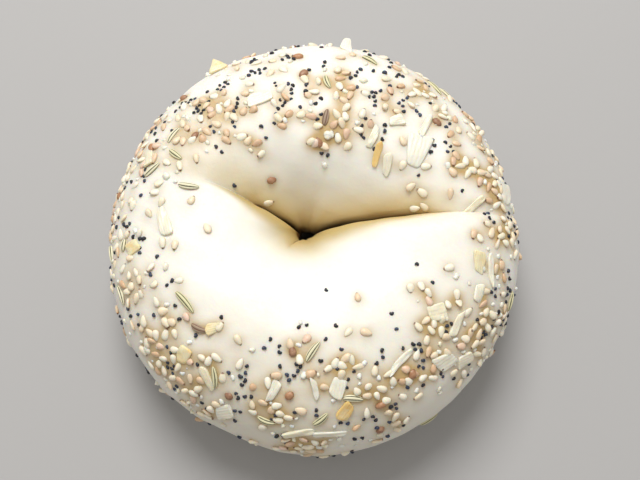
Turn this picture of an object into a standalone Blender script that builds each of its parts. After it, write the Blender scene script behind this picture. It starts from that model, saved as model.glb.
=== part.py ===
"""A seeded bagel: one plump ring of pale dough whose hole has closed to a slit, with the larger
toppings (fennel seeds, onion flakes, brown seeds and sesame seeds) pressed into its top and sides.

The dough is a torus whose two angles are kept. The bearing goes round the hole from +X, and the
section angle goes round the roll: 0 on the outer side, 90 degrees on the crown, 180 in the hole
and 270 underneath. Every shape and every topping is placed by these two angles.
"""

import bmesh
import bpy
import numpy as np
from mathutils import Matrix, Vector

MM = 0.001
DEG = np.pi / 180

# Dough: outer size, the hole's place, and the heights of the roll.
HALF_WIDTH = 51.3 * MM
HALF_DEPTH = 52.6 * MM
HOLE_X = -2.6 * MM
HOLE_Y = 2.6 * MM
THROAT = 1.4 * MM
THROAT_SLOT = 1.5 * MM
SLOT_BEARING = 15 * DEG
BELLY = 16.0 * MM
CROWN = 38.0 * MM
SAG = 20.5 * MM
FOOT_EDGE = 1.0 * MM
FULLNESS = 0.94
CROWN_RISE = 0.6 * MM
CROWN_BEARING = 75 * DEG

# Rim: the pressed flat at the front left, and the notch where the seam comes over the side.
FLAT_BEARING = 252 * DEG
FLAT_SPAN = 16 * DEG
FLAT_DEPTH = 1.2 * MM
NOTCH_BEARING = 3 * DEG
NOTCH_SPAN = 1.8 * DEG
NOTCH_DEPTH = 0.6 * MM

# Gentle waves over the whole roll: lobes round the ring, lobes round the section, phase, share.
WAVES = ((3, 1, 0.5, 0.007), (5, -2, 2.1, 0.006), (2, 3, 4.0, 0.006), (8, 2, 1.2, 0.004))

# The two creases that meet at the hole: the seam of the roll's ends, and the fold opposite.
# Each bends a little on its way out, and has a narrow slit along the inner part of its bed.
SEAM = 5 * DEG
SEAM_BEND = -4 * DEG
FOLD = 156 * DEG
FOLD_BEND = 5 * DEG
SEAM_SINK = 0.66
FOLD_SINK = 0.62
SEAM_REACH = 57 * MM
FOLD_REACH = 26 * MM
BACK_SLOPE = 20 * MM
FRONT_SLOPE = 6 * MM
BACK_POWER = 0.64
FRONT_POWER = 0.5
BACK_BLEND = 0.4
SLIT_SINK = 0.24
SEAM_SLIT = 40 * MM
FOLD_SLIT = 16 * MM
BACK_SLIT = 1.6 * MM
FRONT_SLIT = 1.0 * MM

# The pucker: a third crease, short and shallow, into the lobe in front of the hole.
PUCKER = 243 * DEG
PUCKER_SINK = 0.3
PUCKER_REACH = 9 * MM
PUCKER_SLOPE = 3 * MM

# Facets of the dough: columns behind and in front of the creases, and rows round the section.
BACK_COLUMNS = 30
FRONT_COLUMNS = 40
ROWS = 28
CROWDING = 0.8

# Fennel seeds: bearing and section angles, heading in plan (degrees), length (mm).
FENNEL = (
    (147, 58, 60, 4.6), (154, 68, -40, 4.4), (162, 56, 35, 5.0), (166, 83, -10, 5.2),
    (68, 45, -40, 4.6), (80, 74, -72, 4.0), (77, 94, 78, 4.2), (47, 31, -62, 5.6),
    (188, 20, -58, 5.4), (202, 30, -80, 5.2), (218, 72, -52, 6.6), (229, 69, -25, 4.2),
    (242, 51, 88, 5.4), (274, 81, 55, 5.4), (285, 55, -15, 4.8), (260, 37, -35, 4.6),
    (275, 44, 45, 4.6), (340, 19, 75, 4.8), (188, 41, 85, 3.0), (44, 24, -50, 4.6),
    (97, 9, 20, 5.0), (131, 4, 75, 4.8), (25, -8, 60, 5.0), (304, -8, 30, 5.2),
)
FENNEL_WIDTH = 1.5 * MM
FENNEL_THICK = 1.3 * MM
FENNEL_TAPER = 0.25

# Onion flakes: bearing and section angles, heading in plan (degrees), length and width (mm).
# The first two stand out from the skin, a triangular chip and a narrow one.
FLAKES = (
    (118, 30, 28, 5.6, 5.2), (77, 32, 80, 4.0, 2.6), (110, 78, 20, 6.4, 3.4),
    (30, 82, 72, 8.0, 4.8), (40, 99, 75, 6.4, 1.7), (32, 98, 80, 6.0, 2.0),
    (48, 94, 60, 5.4, 1.9), (46, 79, 15, 3.6, 2.6), (37, 68, 58, 6.6, 1.7),
    (4, 61, 38, 7.2, 1.7), (345, 50, 85, 7.0, 1.5), (345, 58, 80, 5.0, 2.8),
    (323, 69, 10, 4.6, 4.0), (324, 56, 62, 6.0, 1.8), (303, 64, 43, 7.2, 1.6),
    (281, 62, 80, 5.0, 3.4), (274, 62, -75, 5.0, 1.4), (261, 57, 55, 5.2, 2.0),
    (230, 51, 70, 4.4, 3.4), (240, 48, -80, 6.4, 2.0), (233, 74, 10, 3.6, 2.4),
    (183, 72, -75, 7.4, 3.0), (269, 33, 14, 7.8, 1.8), (277, 33, -20, 7.8, 1.8),
    (282, 48, 60, 4.8, 3.0), (190, 50, 20, 4.0, 3.4), (314, 46, 15, 5.0, 4.2),
    (9, 30, 75, 6.0, 4.2), (157, 48, -75, 6.0, 2.6), (319, 35, 0, 4.4, 3.2),
    (248, 31, 20, 4.8, 3.8), (336, 53, 75, 4.4, 2.6),
)
FLAKE_THICK = 1.0 * MM
FLAKE_CORNERS = 6
FLAKE_TOP = 0.9
RAGGED_DEPTH = 0.22
RAGGED_LOBES = 2.6
RAGGED_STEP = 2
ON_EDGE = 2
EDGE_CORNERS = 3
EDGE_RISE = 2
EDGE_LIFT = 1.2 * MM

# Round brown seeds: bearing and section angles.
BROWN_SEEDS = (
    (128, 121), (143, 72), (78, 108), (92, 50), (90, 68), (154, 46), (133, 37), (266, 57),
    (266, 80), (248, 44), (292, 46), (290, 27), (36, 60), (170, 24), (304, 54),
)
BROWN_LENGTH = 2.5 * MM
BROWN_WIDTH = 1.9 * MM
BROWN_THICK = 1.5 * MM
BROWN_TAPER = 0.3

# Drifts, where the dough was pressed hardest into the toppings: bearing and section angles,
# spread (mm), share of the seeds.
DRIFTS = (
    (101, 45, 3, 4), (114, 57, 3, 3), (122, 68, 3, 2), (128, 68, 3, 4), (116, 77, 3, 2),
    (132, 77, 3, 4), (134, 86, 2, 2), (142, 73, 4, 3), (146, 65, 3, 3), (140, 52, 4, 4),
    (146, 24, 3, 4), (158, 39, 3, 4), (158, 71, 2, 3), (127, 97, 2, 3), (102, 92, 2, 3),
    (86, 84, 2, 4), (85, 96, 3, 4), (170, 18, 3, 3), (180, 27, 4, 5), (164, 68, 6, 2),
    (86, 26, 2, 2), (76, 52, 3, 4), (77, 69, 2, 2), (72, 79, 2, 3), (71, 98, 3, 4),
    (58, 91, 2, 4), (56, 72, 3, 3), (53, 41, 5, 4), (47, 51, 4, 4), (50, 77, 3, 2),
    (37, 59, 2, 2), (29, 39, 5, 4), (34, 23, 3, 3), (18, 60, 3, 4), (20, 35, 4, 3),
    (12, 48, 3, 5), (4, 35, 3, 5), (352, 58, 3, 3), (357, 30, 4, 5), (336, 44, 3, 6),
    (329, 60, 4, 4), (323, 46, 2, 5), (331, 27, 3, 4), (348, 43, 4, 4), (325, 73, 2, 2),
    (319, 61, 3, 7), (314, 49, 2, 2), (308, 55, 3, 5), (300, 54, 3, 6), (293, 47, 3, 6),
    (323, 33, 3, 3), (287, 56, 3, 3), (276, 66, 2, 3), (274, 17, 4, 6), (260, 45, 2, 3),
    (266, 28, 3, 5), (270, 16, 3, 4), (270, 84, 2, 3), (246, 55, 1, 2), (243, 26, 3, 5),
    (238, 42, 3, 4), (237, 28, 3, 5), (235, 56, 2, 3), (232, 38, 4, 6), (228, 53, 3, 5),
    (222, 48, 3, 6), (222, 29, 3, 4), (215, 52, 4, 3), (204, 41, 3, 4), (199, 48, 4, 3),
    (191, 25, 3, 4), (194, 59, 3, 2),
)
LOOSE_SHARE = 0.22
DRIFT_AROUND = 0.8 * HALF_WIDTH
DRIFT_ACROSS = 0.6 * CROWN

# How far down the sides the toppings reach: they stop higher at the front right, where the rim
# stayed bare.
LOWEST_SECTION = -14 * DEG
BARE_BEARING = 305 * DEG
BARE_SPAN = 20 * DEG
BARE_RISE = 42 * DEG

# How far towards the hole the toppings reach, as a section angle that changes with the bearing.
TOP_LIMIT = 74 * DEG
TOP_LIMIT_BACK = 10 * DEG
TOP_LIMIT_RIGHT = -5 * DEG
TOP_LIMIT_OVAL = -15 * DEG

# Sesame seeds: bearing and section angles of those that strayed onto the bare dough, and then
# the first of the scatter that the full dressing of the bagel would carry.
SESAME_SINGLES = (
    (148, 128), (189, 95), (290, 87), (297, 84), (302, 99), (286, 76), (284, 73), (294, 66),
    (339, 74), (240, 62), (248, 65), (261, 66), (244, 76), (235, 77), (220, 59), (152, 81),
    (16, 92), (12, 88), (9, 74), (6, 92), (6, 88), (27, 92), (22, 82), (37, 85), (30, 58),
    (72, 103), (66, 103), (84, 108),
)
SESAME_SEED = 11
SESAME_SCATTERED = 62
SESAME_GAP = 1.65 * MM
SESAME_LENGTH = 2.7 * MM
SESAME_WIDTH = 1.8 * MM
SESAME_THICK = 1.05 * MM
SESAME_TAPER = 0.5
STRAY_TURN = 2.0

# How much of a topping's thickness stands above the dough, how steeply its heading rises from
# the level, and the share of its length on each side that no other seed may touch.
STANDING = 0.62
HEADING_RISE = 0.2
PRESSED_SHARE = 0.3

# A seed's facets, and how far from its blunt end it is widest, as a share of its taper.
SEED_SIDES = 6
SEED_RINGS = 4
WIDEST = 0.43

# The small turn by which a slope of the dough is measured.
SEAT_STEP = 0.004


def turn(angle, other):
    """The angle from other to angle, between minus and plus half a turn."""
    return (angle - other + np.pi) % (2 * np.pi) - np.pi


def signed_power(value, power):
    """A power that keeps the sign, as a superellipse needs."""
    return np.sign(value) * np.abs(value) ** power


def eased(value):
    """0 below 0, 1 above 1, and a smooth step between."""
    value = np.clip(value, 0, 1)
    return value * value * (3 - 2 * value)


def bump(bearing, centre, span):
    """A smooth bump of height 1 at one bearing."""
    return np.exp(-((turn(bearing, centre) / span) ** 2))


def rim_distance(bearing):
    """From the hole's centre along a bearing to the ellipse of the rim, dents taken off."""
    across, along = np.cos(bearing), np.sin(bearing)
    square = (across / HALF_WIDTH) ** 2 + (along / HALF_DEPTH) ** 2
    linear = HOLE_X * across / HALF_WIDTH**2 + HOLE_Y * along / HALF_DEPTH**2
    constant = (HOLE_X / HALF_WIDTH) ** 2 + (HOLE_Y / HALF_DEPTH) ** 2 - 1
    distance = (np.sqrt(linear**2 - square * constant) - linear) / square
    distance = distance - FLAT_DEPTH * bump(bearing, FLAT_BEARING, FLAT_SPAN)
    return distance - NOTCH_DEPTH * bump(bearing, NOTCH_BEARING, NOTCH_SPAN)


def crease_bearing(radius, line, bend, reach):
    """The bearing of a crease's bed, which swings by bend on its way out to its reach."""
    return line + bend * np.minimum(radius / reach, 1)


def crease(bearing, radius, line, back, sink, reach, slopes):
    """Share of the crown's height lost to a crease that runs out from the hole along line.

    back is the sign of the turn towards the lobe behind, which slopes away over slopes[0], and
    the lobe in front rolls over within slopes[1]. The sides meet in a sharp valley, and blend
    into one another again where the lobe behind ends at the other crease.
    """
    off = turn(bearing, line)
    within = np.minimum(np.abs(off), np.pi / 2)
    left = (FOLD - SEAM - np.abs(off)) / (FOLD - SEAM)
    behind = np.where(off * back > 0, eased(left / BACK_BLEND), 0)
    across = radius * np.sin(within) / (slopes[1] + (slopes[0] - slopes[1]) * behind)
    along = radius * np.cos(within) / reach
    power = FRONT_POWER + (BACK_POWER - FRONT_POWER) * behind
    rise = (1 - (1 - np.clip(across, 0, 1)) ** 2) ** power
    return sink * eased(1 - along) * (1 - rise)


def valleys(bearing, radius):
    """Share of the crown's height lost to the creases, the slits in their beds and the pucker."""
    slopes, slits = (BACK_SLOPE, FRONT_SLOPE), (BACK_SLIT, FRONT_SLIT)
    seam_bed = crease_bearing(radius, SEAM, SEAM_BEND, SEAM_REACH)
    fold_bed = crease_bearing(radius, FOLD, FOLD_BEND, FOLD_REACH)
    seam = crease(bearing, radius, seam_bed, 1, SEAM_SINK, SEAM_REACH, slopes)
    fold = crease(bearing, radius, fold_bed, -1, FOLD_SINK, FOLD_REACH, slopes)
    seam_slit = crease(bearing, radius, seam_bed, 1, SLIT_SINK, SEAM_SLIT, slits)
    fold_slit = crease(bearing, radius, fold_bed, -1, SLIT_SINK, FOLD_SLIT, slits)
    narrow = (PUCKER_SLOPE, PUCKER_SLOPE)
    pucker = crease(bearing, radius, PUCKER, 1, PUCKER_SINK, PUCKER_REACH, narrow)
    return np.cbrt(seam**3 + fold**3) + np.maximum(seam_slit, fold_slit) + pucker


def dough_point(bearing, section):
    """Points of the dough's surface, in metres, for arrays of bearing and section angles.

    In each half plane through the hole the roll is a superellipse between the throat and the
    rim, taller above its belly than below, flattened where it stands.
    """
    rim = rim_distance(bearing)
    throat = THROAT + THROAT_SLOT * np.cos(turn(bearing, SLOT_BEARING) / 2) ** 8
    swell = 1 + sum(
        share * np.cos(around * bearing + across * section + phase)
        for around, across, phase, share in WAVES
    )
    radius = (rim + throat) / 2
    radius = radius + (rim - throat) / 2 * signed_power(np.cos(section), FULLNESS) * swell
    lift = signed_power(np.sin(section), FULLNESS)
    crown = (CROWN + CROWN_RISE * np.cos(2 * turn(bearing, CROWN_BEARING)) - BELLY) * swell
    height = BELLY + np.where(lift > 0, crown * lift * (1 - valleys(bearing, radius)), SAG * lift)
    foot = np.clip(height + FOOT_EDGE, 0, None) ** 2 / (4 * FOOT_EDGE)
    height = np.where(height > FOOT_EDGE, height, foot)
    x = HOLE_X + radius * np.cos(bearing)
    y = HOLE_Y + radius * np.sin(bearing)
    return np.stack([x, y, height], -1)


def column_bearings():
    """Bearings of the dough's columns: one in each crease, and crowded on both sides of it."""

    def eased_steps(count):
        even = np.arange(count) / count
        return even - CROWDING * np.sin(2 * np.pi * even) / (2 * np.pi)

    back = SEAM + (FOLD - SEAM) * eased_steps(BACK_COLUMNS)
    front = FOLD + (2 * np.pi + SEAM - FOLD) * eased_steps(FRONT_COLUMNS)
    return np.concatenate([back, front])


def material(name, colour, roughness):
    """A matt, non-metallic Principled material."""
    made = bpy.data.materials.new(name)
    made.use_nodes = True
    shader = made.node_tree.nodes["Principled BSDF"]
    shader.inputs["Base Color"].default_value = (*colour, 1)
    shader.inputs["Roughness"].default_value = roughness
    shader.inputs["Metallic"].default_value = 0
    return made


def make_dough(finish):
    """The ring of dough: a torus primitive whose two angles are put through dough_point."""
    columns = column_bearings()
    bpy.ops.mesh.primitive_torus_add(
        major_segments=len(columns), minor_segments=ROWS, major_radius=1, minor_radius=0.5
    )
    dough = bpy.context.object
    dough.name = "bagel"
    dough.data.name = "bagel"
    points = np.empty(len(dough.data.vertices) * 3, np.float32)
    dough.data.vertices.foreach_get("co", points)
    x, y, z = points.reshape(-1, 3).astype(float).T
    step = np.rint(np.arctan2(y, x) / (2 * np.pi) * len(columns)).astype(int)
    section = np.arctan2(z, np.hypot(x, y) - 1)
    shaped = dough_point(columns[step % len(columns)], section)
    dough.data.vertices.foreach_set("co", shaped.astype(np.float32).ravel())
    dough.data.materials.append(finish)
    dough.data.shade_smooth()
    return dough


def seat(bearing, section):
    """The dough's point and outward normal at one pair of angles."""
    point = dough_point(np.array(bearing), np.array(section))
    around = dough_point(np.array(bearing + SEAT_STEP), np.array(section)) - point
    across = dough_point(np.array(bearing), np.array(section + SEAT_STEP)) - point
    return Vector(point), Vector(np.cross(around, across)).normalized()


def top_limit(bearing):
    """The section angle where the toppings stop short of the bare dough round the hole."""
    oval = TOP_LIMIT_OVAL * np.cos(2 * bearing)
    return TOP_LIMIT + TOP_LIMIT_BACK * np.sin(bearing) + TOP_LIMIT_RIGHT * np.cos(bearing) + oval


def low_limit(bearing):
    """The section angle below which no topping lies."""
    return LOWEST_SECTION + BARE_RISE * bump(bearing, BARE_BEARING, BARE_SPAN)


def pressed_points(pieces):
    """Three points along each listed piece, where no seed of the scatter may lie."""
    points = []
    for bearing, section, heading, length, *_ in pieces:
        centre, normal = seat(bearing * DEG, section * DEG)
        pointing = Vector((np.cos(heading * DEG), np.sin(heading * DEG), 0))
        along = (pointing - normal * pointing.dot(normal)).normalized()
        along *= PRESSED_SHARE * length * MM
        points += [centre - along, centre, centre + along]
    return np.array(points)


def scatter(seed, count, gap, places):
    """Bearing, section and heading of count seeds, drawn one by one and kept a gap apart.

    They also keep that gap from the places given. A seed falls in a drift, spread normally
    about its centre, or loosely in the topped band.
    """
    random = np.random.default_rng(seed)
    shares = np.array([drift[3] for drift in DRIFTS], float)
    kept = np.empty((0, 3))
    while len(kept) < count:
        loose = random.random() < LOOSE_SHARE
        drift = DRIFTS[random.choice(len(DRIFTS), p=shares / shares.sum())]
        offsets = random.normal(size=2)
        even = random.random(3)
        heading = even[2] * 2 * np.pi
        if loose:
            bearing = even[0] * 2 * np.pi
            section = low_limit(bearing) + even[1] * (top_limit(bearing) - low_limit(bearing))
        else:
            spread = drift[2] * MM
            bearing = drift[0] * DEG + offsets[0] * spread / DRIFT_AROUND
            section = drift[1] * DEG + offsets[1] * spread / DRIFT_ACROSS
        if section < LOWEST_SECTION:
            continue
        place = dough_point(np.array(bearing), np.array(section))
        if np.linalg.norm(places - place, axis=1).min() < gap:
            continue
        kept = np.vstack([kept, [bearing, section, heading]])
        places = np.vstack([places, place])
    return kept


def place_on_dough(piece, bearing, section, heading, lift, rise=0):
    """Lays a piece modelled along +X and facing +Z on the dough, its middle lifted off the skin.

    It faces along the skin's normal, or more upwards where rise, a length of +Z, is added.
    """
    point, normal = seat(bearing, section)
    facing = (normal + Vector((0, 0, rise))).normalized()
    pointing = Vector((np.cos(heading), np.sin(heading), HEADING_RISE))
    along = (pointing - facing * pointing.dot(facing)).normalized()
    axes = Matrix((along, facing.cross(along), facing)).transposed().to_4x4()
    piece.matrix_world = Matrix.Translation(point + normal * lift) @ axes


def new_piece(name, mesh, collection):
    """One topping as an object of its collection."""
    piece = bpy.data.objects.new(name, mesh)
    collection.objects.link(piece)
    return piece


def seed_mesh(name, length, width, thickness, taper, finish):
    """A seed along X: a sphere primitive drawn out, and narrower towards its +X end by taper."""
    shape = bmesh.new()
    bmesh.ops.create_uvsphere(shape, u_segments=SEED_SIDES, v_segments=SEED_RINGS, radius=1)
    for vertex in shape.verts:
        x, y, z = vertex.co
        narrow = (1 - taper * (z + 1) / 2) / (1 - WIDEST * taper)
        vertex.co = (z * length / 2, x * narrow * width / 2, y * narrow * thickness / 2)
    bmesh.ops.recalc_face_normals(shape, faces=shape.faces)
    mesh = bpy.data.meshes.new(name)
    shape.to_mesh(mesh)
    shape.free()
    mesh.materials.append(finish)
    return mesh


def flake_mesh(name, length, width, number, finish):
    """A chip of dried onion: a flat prism whose corners stand in and out by a rule."""
    shape = bmesh.new()
    corners = FLAKE_CORNERS if number else EDGE_CORNERS
    bmesh.ops.create_cone(
        shape, cap_ends=True, segments=corners, radius1=1, radius2=FLAKE_TOP, depth=1
    )
    for vertex in shape.verts:
        x, y, z = vertex.co
        ragged = 1 + RAGGED_DEPTH * np.cos(RAGGED_LOBES * np.arctan2(y, x) + RAGGED_STEP * number)
        vertex.co = (x * ragged * length / 2, y * ragged * width / 2, z * FLAKE_THICK)
    mesh = bpy.data.meshes.new(name)
    shape.to_mesh(mesh)
    shape.free()
    mesh.materials.append(finish)
    return mesh


def make_fennel(collection, finish):
    """Long ribbed seeds, shown as plain spindles."""
    lift = FENNEL_THICK * (STANDING - 0.5)
    for number, (bearing, section, heading, length) in enumerate(FENNEL):
        size = (length * MM, FENNEL_WIDTH, FENNEL_THICK)
        mesh = seed_mesh("fennel", *size, FENNEL_TAPER, finish)
        piece = new_piece(f"fennel_{number}", mesh, collection)
        place_on_dough(piece, bearing * DEG, section * DEG, heading * DEG, lift)


def make_flakes(collection, finish):
    """Thin chips and strips of dried onion, most of them lying flat."""
    for number, (bearing, section, heading, length, width) in enumerate(FLAKES):
        mesh = flake_mesh("flake", length * MM, width * MM, number, finish)
        piece = new_piece(f"flake_{number}", mesh, collection)
        stance = (EDGE_LIFT, EDGE_RISE) if number < ON_EDGE else (FLAKE_THICK * (STANDING - 0.5), 0)
        place_on_dough(piece, bearing * DEG, section * DEG, heading * DEG, *stance)


def make_brown_seeds(collection, finish):
    """Small round seeds, all of one shape."""
    mesh = seed_mesh("brown_seed", BROWN_LENGTH, BROWN_WIDTH, BROWN_THICK, BROWN_TAPER, finish)
    lift = BROWN_THICK * (STANDING - 0.5)
    for number, (bearing, section) in enumerate(BROWN_SEEDS):
        piece = new_piece(f"brown_seed_{number}", mesh, collection)
        place_on_dough(piece, bearing * DEG, section * DEG, number, lift)


def make_sesame(collection, finish):
    """Flat teardrop seeds, all of one shape: the strays, then those scattered in the drifts."""
    size = (SESAME_LENGTH, SESAME_WIDTH, SESAME_THICK)
    mesh = seed_mesh("sesame", *size, SESAME_TAPER, finish)
    lift = SESAME_THICK * (STANDING - 0.5)
    strays = [(b * DEG, s * DEG, STRAY_TURN * n) for n, (b, s) in enumerate(SESAME_SINGLES)]
    taken = pressed_points([*FENNEL, *FLAKES])
    scattered = scatter(SESAME_SEED, SESAME_SCATTERED, SESAME_GAP, taken)
    for number, (bearing, section, heading) in enumerate([*strays, *scattered]):
        piece = new_piece(f"sesame_{number}", mesh, collection)
        place_on_dough(piece, bearing, section, heading, lift)


def largest_shell(mesh):
    """Keeps the outer skin: hollows that fusing sealed and loose scraps are separate shells."""
    shape = bmesh.new()
    shape.from_mesh(mesh)
    waiting = set(shape.verts)
    shells = []
    while waiting:
        shell, edge = set(), [waiting.pop()]
        while edge:
            vertex = edge.pop()
            shell.add(vertex)
            near = {link.other_vert(vertex) for link in vertex.link_edges} & waiting
            waiting -= near
            edge.extend(near)
        shells.append(shell)
    shells.sort(key=len)
    scraps = [vertex for shell in shells[:-1] for vertex in shell]
    bmesh.ops.delete(shape, geom=scraps, context="VERTS")
    shape.to_mesh(mesh)
    shape.free()


def fuse(dough, toppings):
    """Joins every topping to the dough with one Boolean union, then removes them."""
    union = dough.modifiers.new("toppings", "BOOLEAN")
    union.operation = "UNION"
    union.operand_type = "COLLECTION"
    union.collection = toppings
    union.solver = "EXACT"
    union.material_mode = "TRANSFER"
    graph = bpy.context.evaluated_depsgraph_get()
    fused = bpy.data.meshes.new_from_object(dough.evaluated_get(graph))
    dough.modifiers.clear()
    dough.data = fused
    largest_shell(fused)
    for piece in list(toppings.objects):
        bpy.data.objects.remove(piece)
    bpy.data.collections.remove(toppings)


def main():
    for old in list(bpy.data.objects):
        bpy.data.objects.remove(old)
    parts = bpy.data.collections.new("seeded_bagel")
    toppings = bpy.data.collections.new("toppings")
    for collection in (parts, toppings):
        bpy.context.scene.collection.children.link(collection)
    dough = make_dough(material("dough", (0.87, 0.81, 0.67), 0.5))
    for holder in list(dough.users_collection):
        holder.objects.unlink(dough)
    parts.objects.link(dough)
    make_fennel(toppings, material("fennel", (0.38, 0.37, 0.16), 0.55))
    make_flakes(toppings, material("onion", (0.86, 0.79, 0.58), 0.45))
    make_brown_seeds(toppings, material("brown_seed", (0.42, 0.22, 0.11), 0.5))
    make_sesame(toppings, material("sesame", (0.84, 0.74, 0.56), 0.45))
    fuse(dough, toppings)


main()
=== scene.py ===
"""The looks of a seeded bagel: a plump ring of pale satin dough, dressed all round with hulled
sesame, poppy, fennel and brown seeds, onion flakes and garlic granules pressed into its skin.

Lengths are in metres. A place on the dough is given by two angles, as in the solid: the bearing
round the hole from +X, and the section angle round the roll (0 outside, 90 degrees on the crown,
180 in the hole, 270 underneath).
"""

import bpy
import numpy as np
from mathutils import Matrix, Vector


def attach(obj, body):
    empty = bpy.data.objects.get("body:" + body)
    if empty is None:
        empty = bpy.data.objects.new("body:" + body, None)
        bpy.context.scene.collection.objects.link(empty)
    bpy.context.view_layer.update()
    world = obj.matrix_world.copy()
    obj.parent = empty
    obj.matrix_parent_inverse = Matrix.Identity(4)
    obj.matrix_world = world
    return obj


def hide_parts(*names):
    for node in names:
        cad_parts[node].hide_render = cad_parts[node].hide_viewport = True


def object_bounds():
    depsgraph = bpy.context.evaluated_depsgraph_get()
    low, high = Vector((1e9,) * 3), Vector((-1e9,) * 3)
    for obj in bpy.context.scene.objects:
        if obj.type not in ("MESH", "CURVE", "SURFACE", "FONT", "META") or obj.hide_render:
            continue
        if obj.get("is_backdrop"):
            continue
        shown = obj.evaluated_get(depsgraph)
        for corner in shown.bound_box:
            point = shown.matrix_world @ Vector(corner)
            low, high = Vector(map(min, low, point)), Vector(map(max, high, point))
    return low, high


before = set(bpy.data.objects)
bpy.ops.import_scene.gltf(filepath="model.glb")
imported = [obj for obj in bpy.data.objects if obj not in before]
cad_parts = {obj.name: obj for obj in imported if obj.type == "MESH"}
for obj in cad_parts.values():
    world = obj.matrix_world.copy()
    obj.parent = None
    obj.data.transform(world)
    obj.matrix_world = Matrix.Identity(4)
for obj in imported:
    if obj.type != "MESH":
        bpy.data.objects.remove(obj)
cad_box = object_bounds()

# The form of the dough. It is one rope of white yeast dough, rolled round and pressed together,
# which has swollen until the hole is a slit. A long seam runs from the hole to the right and a
# shorter fold to the left, and behind both the dough slopes down to them from its crown.

MM = 0.001
DEG = np.pi / 180
HALF_WIDTH, HALF_DEPTH = 51.3 * MM, 52.6 * MM
HOLE_X, HOLE_Y = -2.6 * MM, 2.6 * MM
THROAT, THROAT_SLOT, SLOT_BEARING, SLOT_SHARPNESS = 1.4 * MM, 1.5 * MM, 15 * DEG, 8
BELLY, CROWN, SAG, FOOT_EDGE = 16.0 * MM, 38.0 * MM, 20.5 * MM, 1.0 * MM
FULLNESS = 0.94
CROWN_RISE, CROWN_BEARING = 0.6 * MM, 75 * DEG
FLAT_BEARING, FLAT_SPAN, FLAT_DEPTH = 252 * DEG, 16 * DEG, 1.2 * MM
NOTCH_BEARING, NOTCH_SPAN, NOTCH_DEPTH = 3 * DEG, 1.8 * DEG, 0.6 * MM
WAVES = ((3, 1, 0.5, 0.007), (5, -2, 2.1, 0.006), (2, 3, 4.0, 0.006), (8, 2, 1.2, 0.004))
SEAM, SEAM_BEND, FOLD, FOLD_BEND = 5 * DEG, -4 * DEG, 156 * DEG, 5 * DEG
SEAM_SINK, FOLD_SINK, SLIT_SINK = 0.66, 0.62, 0.24
SEAM_REACH, FOLD_REACH, SEAM_SLIT, FOLD_SLIT = 57 * MM, 26 * MM, 40 * MM, 16 * MM
BACK_SLOPE, FRONT_SLOPE, BACK_SLIT, FRONT_SLIT = 20 * MM, 6 * MM, 1.6 * MM, 1.0 * MM
BACK_POWER, FRONT_POWER, BACK_BLEND = 0.64, 0.5, 0.4
PUCKER, PUCKER_SINK, PUCKER_REACH, PUCKER_SLOPE = 243 * DEG, 0.3, 9 * MM, 3 * MM


def turn(angle, other):
    """The angle from other to angle, between minus and plus half a turn."""
    return (angle - other + np.pi) % (2 * np.pi) - np.pi


def signed_power(value, power):
    """A power of the size that keeps the sign."""
    return np.sign(value) * np.abs(value) ** power


def eased(value):
    """3 v squared less 2 v cubed, held between 0 and 1."""
    value = np.clip(value, 0, 1)
    return value * value * (3 - 2 * value)


def dent(bearing, centre, span):
    """A bell curve of height 1 about one bearing."""
    return np.exp(-((turn(bearing, centre) / span) ** 2))


def rim_distance(bearing):
    """Where a ray from the hole meets the ellipse of the rim, by the quadratic formula, less
    the pressed flat and the seam's notch."""
    across, along = np.cos(bearing), np.sin(bearing)
    square = (across / HALF_WIDTH) ** 2 + (along / HALF_DEPTH) ** 2
    linear = HOLE_X * across / HALF_WIDTH**2 + HOLE_Y * along / HALF_DEPTH**2
    constant = (HOLE_X / HALF_WIDTH) ** 2 + (HOLE_Y / HALF_DEPTH) ** 2 - 1
    distance = (np.sqrt(linear**2 - square * constant) - linear) / square
    distance = distance - FLAT_DEPTH * dent(bearing, FLAT_BEARING, FLAT_SPAN)
    return distance - NOTCH_DEPTH * dent(bearing, NOTCH_BEARING, NOTCH_SPAN)


def crease_bearing(radius, line, bend, reach):
    """The bearing of a crease's bed, which swings by bend on its way out to its reach."""
    return line + bend * np.minimum(radius / reach, 1)


def crease(bearing, radius, line, back, sink, reach, slopes):
    """Share of the height lost to a crease along one bearing: on each side a superellipse that
    climbs from the crease's bed within that side's slope, fading out along the crease."""
    off = turn(bearing, line)
    within = np.minimum(np.abs(off), np.pi / 2)
    left = (FOLD - SEAM - np.abs(off)) / (FOLD - SEAM)
    behind = np.where(off * back > 0, eased(left / BACK_BLEND), 0)
    across = radius * np.sin(within) / (slopes[1] + (slopes[0] - slopes[1]) * behind)
    along = radius * np.cos(within) / reach
    power = FRONT_POWER + (BACK_POWER - FRONT_POWER) * behind
    rise = (1 - (1 - np.clip(across, 0, 1)) ** 2) ** power
    return sink * eased(1 - along) * (1 - rise)


def valleys(bearing, radius):
    """Share of the height lost to both creases, joined by a cube mean, to their slits and to
    the pucker."""
    slopes, slits = (BACK_SLOPE, FRONT_SLOPE), (BACK_SLIT, FRONT_SLIT)
    seam_bed = crease_bearing(radius, SEAM, SEAM_BEND, SEAM_REACH)
    fold_bed = crease_bearing(radius, FOLD, FOLD_BEND, FOLD_REACH)
    seam = crease(bearing, radius, seam_bed, 1, SEAM_SINK, SEAM_REACH, slopes)
    fold = crease(bearing, radius, fold_bed, -1, FOLD_SINK, FOLD_REACH, slopes)
    seam_slit = crease(bearing, radius, seam_bed, 1, SLIT_SINK, SEAM_SLIT, slits)
    fold_slit = crease(bearing, radius, fold_bed, -1, SLIT_SINK, FOLD_SLIT, slits)
    narrow = (PUCKER_SLOPE, PUCKER_SLOPE)
    pucker = crease(bearing, radius, PUCKER, 1, PUCKER_SINK, PUCKER_REACH, narrow)
    return np.cbrt(seam**3 + fold**3) + np.maximum(seam_slit, fold_slit) + pucker


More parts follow.
